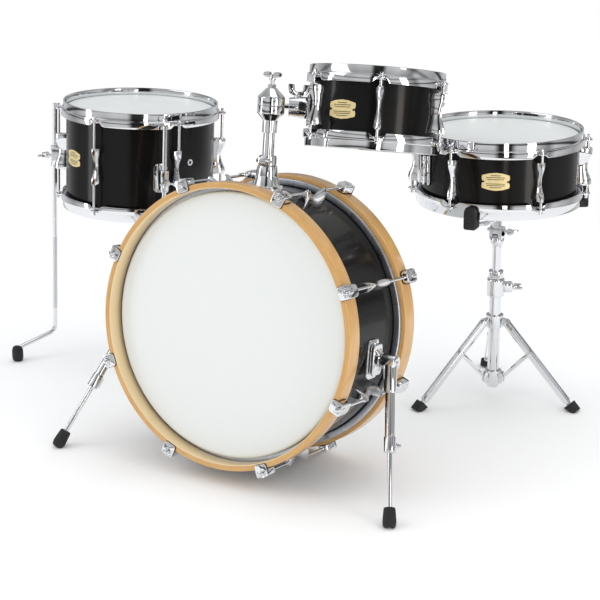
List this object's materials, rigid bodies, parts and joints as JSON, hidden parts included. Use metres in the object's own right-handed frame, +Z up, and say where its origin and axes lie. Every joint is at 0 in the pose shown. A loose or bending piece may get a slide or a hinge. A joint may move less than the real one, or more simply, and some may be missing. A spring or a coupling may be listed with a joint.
{
  "type": "acoustic drum kit",
  "caption": "Compact acoustic drum kit: bass drum on folding spurs, ball-mounted rack tom, floor tom on legs, and a snare on a folding basket stand.",
  "frame": {"origin": "on the floor, under the centre of the kit's bounding box", "axes": "+Z up; +X from the floor tom to the snare; the bass drum's front head faces -Y and the player sits on the +Y side"},
  "size_m": [1.2594, 0.925, 0.7762],
  "materials": {
    "black_shell": "gloss black lacquer",
    "maple_hoop": "gloss natural maple",
    "white_film": "smooth white film",
    "gold_badge": "polished",
    "cast_chrome": "cast and chromed",
    "chrome_tube": "polished tube and bent steel",
    "steel_wire": "bright",
    "black_nylon": "moulded"
  },
  "bodies": {
    "root": {"bass_shell": "black_shell", "bass_hoops": "maple_hoop", "bass_heads": "white_film", "bass_lugs": "cast_chrome", "bass_claws": "cast_chrome", "bass_rods": "chrome_tube", "spur_brackets": "cast_chrome", "tom_holder_base": "cast_chrome", "floor_tom_shell": "black_shell", "floor_tom_hoops": "chrome_tube", "floor_tom_heads": "white_film", "floor_tom_lugs": "cast_chrome", "floor_tom_rods": "chrome_tube", "floor_tom_badge": "gold_badge", "leg_brackets": "cast_chrome", "stand_tube": "chrome_tube", "stand_castings": "cast_chrome"},
    "spur_right": {"spur_tube_right": "chrome_tube"},
    "spur_right_leg": {"spur_rod_right": "chrome_tube"},
    "spur_left": {"spur_tube_left": "chrome_tube"},
    "spur_left_leg": {"spur_rod_left": "chrome_tube"},
    "holder_post": {"tom_post": "chrome_tube", "ball_clamp": "cast_chrome"},
    "holder_bolt": {"holder_wing_bolt": "cast_chrome"},
    "clamp_nut": {"clamp_wing_nut": "cast_chrome"},
    "seat": {"ball_seat": "black_nylon"},
    "arm": {"tom_arm": "chrome_tube"},
    "tom": {"tom_shell": "black_shell", "tom_receiver": "cast_chrome", "tom_hoops": "chrome_tube", "tom_heads": "white_film", "tom_lugs": "cast_chrome", "tom_rods": "chrome_tube", "tom_badge": "gold_badge"},
    "receiver_bolt": {"receiver_wing_bolt": "cast_chrome"},
    "floor_leg_a": {"floor_leg_a": "chrome_tube"},
    "floor_leg_b": {"floor_leg_b": "chrome_tube"},
    "floor_leg_c": {"floor_leg_c": "chrome_tube"},
    "snare": {"snare_shell": "black_shell", "snare_hoops": "chrome_tube", "snare_heads": "white_film", "snare_lugs": "cast_chrome", "snare_rods": "chrome_tube", "snare_badge": "gold_badge", "snare_strainer": "cast_chrome", "snare_wires": "steel_wire"},
    "strainer_lever": {"snare_lever": "cast_chrome"},
    "stand_hub": {"stand_hub": "cast_chrome"},
    "stand_leg_a": {"stand_leg_a": "chrome_tube"},
    "stand_leg_b": {"stand_leg_b": "chrome_tube"},
    "stand_leg_c": {"stand_leg_c": "chrome_tube"},
    "stand_brace_a": {"stand_brace_a": "chrome_tube"},
    "stand_brace_b": {"stand_brace_b": "chrome_tube"},
    "stand_brace_c": {"stand_brace_c": "chrome_tube"},
    "stand_post": {"stand_post": "chrome_tube"},
    "basket": {"stand_basket": "cast_chrome"},
    "basket_arm_a": {"basket_arm_a": "chrome_tube"},
    "basket_arm_b": {"basket_arm_b": "chrome_tube"},
    "basket_arm_c": {"basket_arm_c": "chrome_tube"}
  },
  "joints": [
    {"name": "spur_right_fold", "type": "hinge", "parent": "root", "child": "spur_right", "pos_m": [0.47048, -0.28534, 0.25337], "axis": [1, 0, 0], "range_deg": [0, 120]},
    {"name": "spur_right_extend", "type": "slide", "parent": "spur_right", "child": "spur_right_leg", "axis": [0.2807, -0.5176, -0.8082], "range_m": [0, 0.05]},
    {"name": "spur_left_fold", "type": "hinge", "parent": "root", "child": "spur_left", "pos_m": [-0.11752, -0.28534, 0.25337], "axis": [1, 0, 0], "range_deg": [0, 120]},
    {"name": "spur_left_extend", "type": "slide", "parent": "spur_left", "child": "spur_left_leg", "axis": [-0.2807, -0.5176, -0.8082], "range_m": [0, 0.05]},
    {"name": "holder_height", "type": "slide", "parent": "root", "child": "holder_post", "axis": [0, 0.1305, 0.9914], "range_m": [0, 0.06]},
    {"name": "holder_bolt_turn", "type": "hinge", "parent": "root", "child": "holder_bolt", "pos_m": [0.13648, -0.24431, 0.56498], "axis": [-1, 0, 0], "continuous": true},
    {"name": "clamp_nut_turn", "type": "hinge", "parent": "holder_post", "child": "clamp_nut", "pos_m": [0.17648, -0.22056, 0.74542], "axis": [0, 0.1305, 0.9914], "continuous": true},
    {"name": "ball_swivel", "type": "hinge", "parent": "holder_post", "child": "seat", "pos_m": [0.17648, -0.22656, 0.69981], "axis": [0, 0.1305, 0.9914], "range_deg": [-15, 15]},
    {"name": "ball_tilt", "type": "hinge", "parent": "seat", "child": "arm", "pos_m": [0.17648, -0.22656, 0.69981], "axis": [0.8555, 0.5179, 0], "range_deg": [-8, 15]},
    {"name": "tom_slide", "type": "slide", "parent": "arm", "child": "tom", "axis": [0.8572, 0.5088, -0.0795], "range_m": [-0.012, 0.01]},
    {"name": "receiver_bolt_turn", "type": "hinge", "parent": "tom", "child": "receiver_bolt", "pos_m": [0.16122, -0.10403, 0.67345], "axis": [-0.0457, 0.2289, 0.9724], "continuous": true},
    {"name": "floor_leg_a_extend", "type": "slide", "parent": "root", "child": "floor_leg_a", "axis": [-0.0283, -0.0376, -0.9989], "range_m": [0, 0.08]},
    {"name": "floor_leg_b_extend", "type": "slide", "parent": "root", "child": "floor_leg_b", "axis": [-0.0283, -0.0376, -0.9989], "range_m": [0, 0.08]},
    {"name": "floor_leg_c_extend", "type": "slide", "parent": "root", "child": "floor_leg_c", "axis": [-0.0283, -0.0376, -0.9989], "range_m": [0, 0.08]},
    {"name": "stand_height", "type": "slide", "parent": "root", "child": "stand_post", "axis": [0, 0, 1], "range_m": [0, 0.04]},
    {"name": "basket_tilt", "type": "hinge", "parent": "stand_post", "child": "basket", "pos_m": [0.42648, 0.2719, 0.372], "axis": [-1, 0, 0], "range_deg": [-3, 12]},
    {"name": "snare_lift", "type": "slide", "parent": "basket", "child": "snare", "axis": [0, 0, 1], "range_m": [0, 0.03]},
    {"name": "strainer_throw", "type": "hinge", "parent": "snare", "child": "strainer_lever", "pos_m": [0.31922, 0.13362, 0.496], "axis": [0.7902, -0.6129, 0], "range_deg": [0, 100]},
    {"name": "basket_arm_a_open", "type": "hinge", "parent": "basket", "child": "basket_arm_a", "pos_m": [0.42986, 0.24511, 0.405], "axis": [0.9921, 0.1253, 0], "range_deg": [0, 12]},
    {"name": "basket_arm_b_open", "type": "hinge", "parent": "basket", "child": "basket_arm_b", "pos_m": [0.44799, 0.28822, 0.405], "axis": [-0.6046, 0.7965, 0], "range_deg": [0, 12]},
    {"name": "basket_arm_c_open", "type": "hinge", "parent": "basket", "child": "basket_arm_c", "pos_m": [0.40159, 0.28236, 0.405], "axis": [-0.3875, -0.9219, 0], "range_deg": [0, 12]},
    {"name": "stand_hub_slide", "type": "slide", "parent": "root", "child": "stand_hub", "axis": [0, 0, 1], "range_m": [0, 0.038]},
    {"name": "stand_leg_a_fold", "type": "hinge", "parent": "stand_hub", "child": "stand_leg_a", "pos_m": [0.41265, 0.24871, 0.172], "axis": [0.859, -0.512, 0], "range_deg": [0, 24]},
    {"name": "stand_brace_a_fold", "type": "hinge", "parent": "root", "child": "stand_brace_a", "pos_m": [0.41624, 0.25472, 0.045], "axis": [-0.859, 0.512, 0], "range_deg": [0, 22]},
    {"name": "stand_leg_b_fold", "type": "hinge", "parent": "stand_hub", "child": "stand_leg_b", "pos_m": [0.45348, 0.27152, 0.172], "axis": [0.014, 0.9999, 0], "range_deg": [0, 24]},
    {"name": "stand_brace_b_fold", "type": "hinge", "parent": "root", "child": "stand_brace_b", "pos_m": [0.44648, 0.27162, 0.045], "axis": [-0.014, -0.9999, 0], "range_deg": [0, 22]},
    {"name": "stand_leg_c_fold", "type": "hinge", "parent": "stand_hub", "child": "stand_leg_c", "pos_m": [0.41331, 0.29547, 0.172], "axis": [-0.8729, -0.4879, 0], "range_deg": [0, 24]},
    {"name": "stand_brace_c_fold", "type": "hinge", "parent": "root", "child": "stand_brace_c", "pos_m": [0.41672, 0.28936, 0.045], "axis": [0.8729, 0.4879, 0], "range_deg": [0, 22]}
  ],
  "couplings": [
    {"joint": "basket_arm_b_open", "follows": "basket_arm_a_open", "ratio": 1},
    {"joint": "basket_arm_c_open", "follows": "basket_arm_a_open", "ratio": 1},
    {"joint": "stand_leg_a_fold", "follows": "stand_hub_slide", "rad_per_m": 10.98},
    {"joint": "stand_brace_a_fold", "follows": "stand_hub_slide", "rad_per_m": 10.06},
    {"joint": "stand_leg_b_fold", "follows": "stand_hub_slide", "rad_per_m": 10.98},
    {"joint": "stand_brace_b_fold", "follows": "stand_hub_slide", "rad_per_m": 10.06},
    {"joint": "stand_leg_c_fold", "follows": "stand_hub_slide", "rad_per_m": 10.98},
    {"joint": "stand_brace_c_fold", "follows": "stand_hub_slide", "rad_per_m": 10.06}
  ]
}
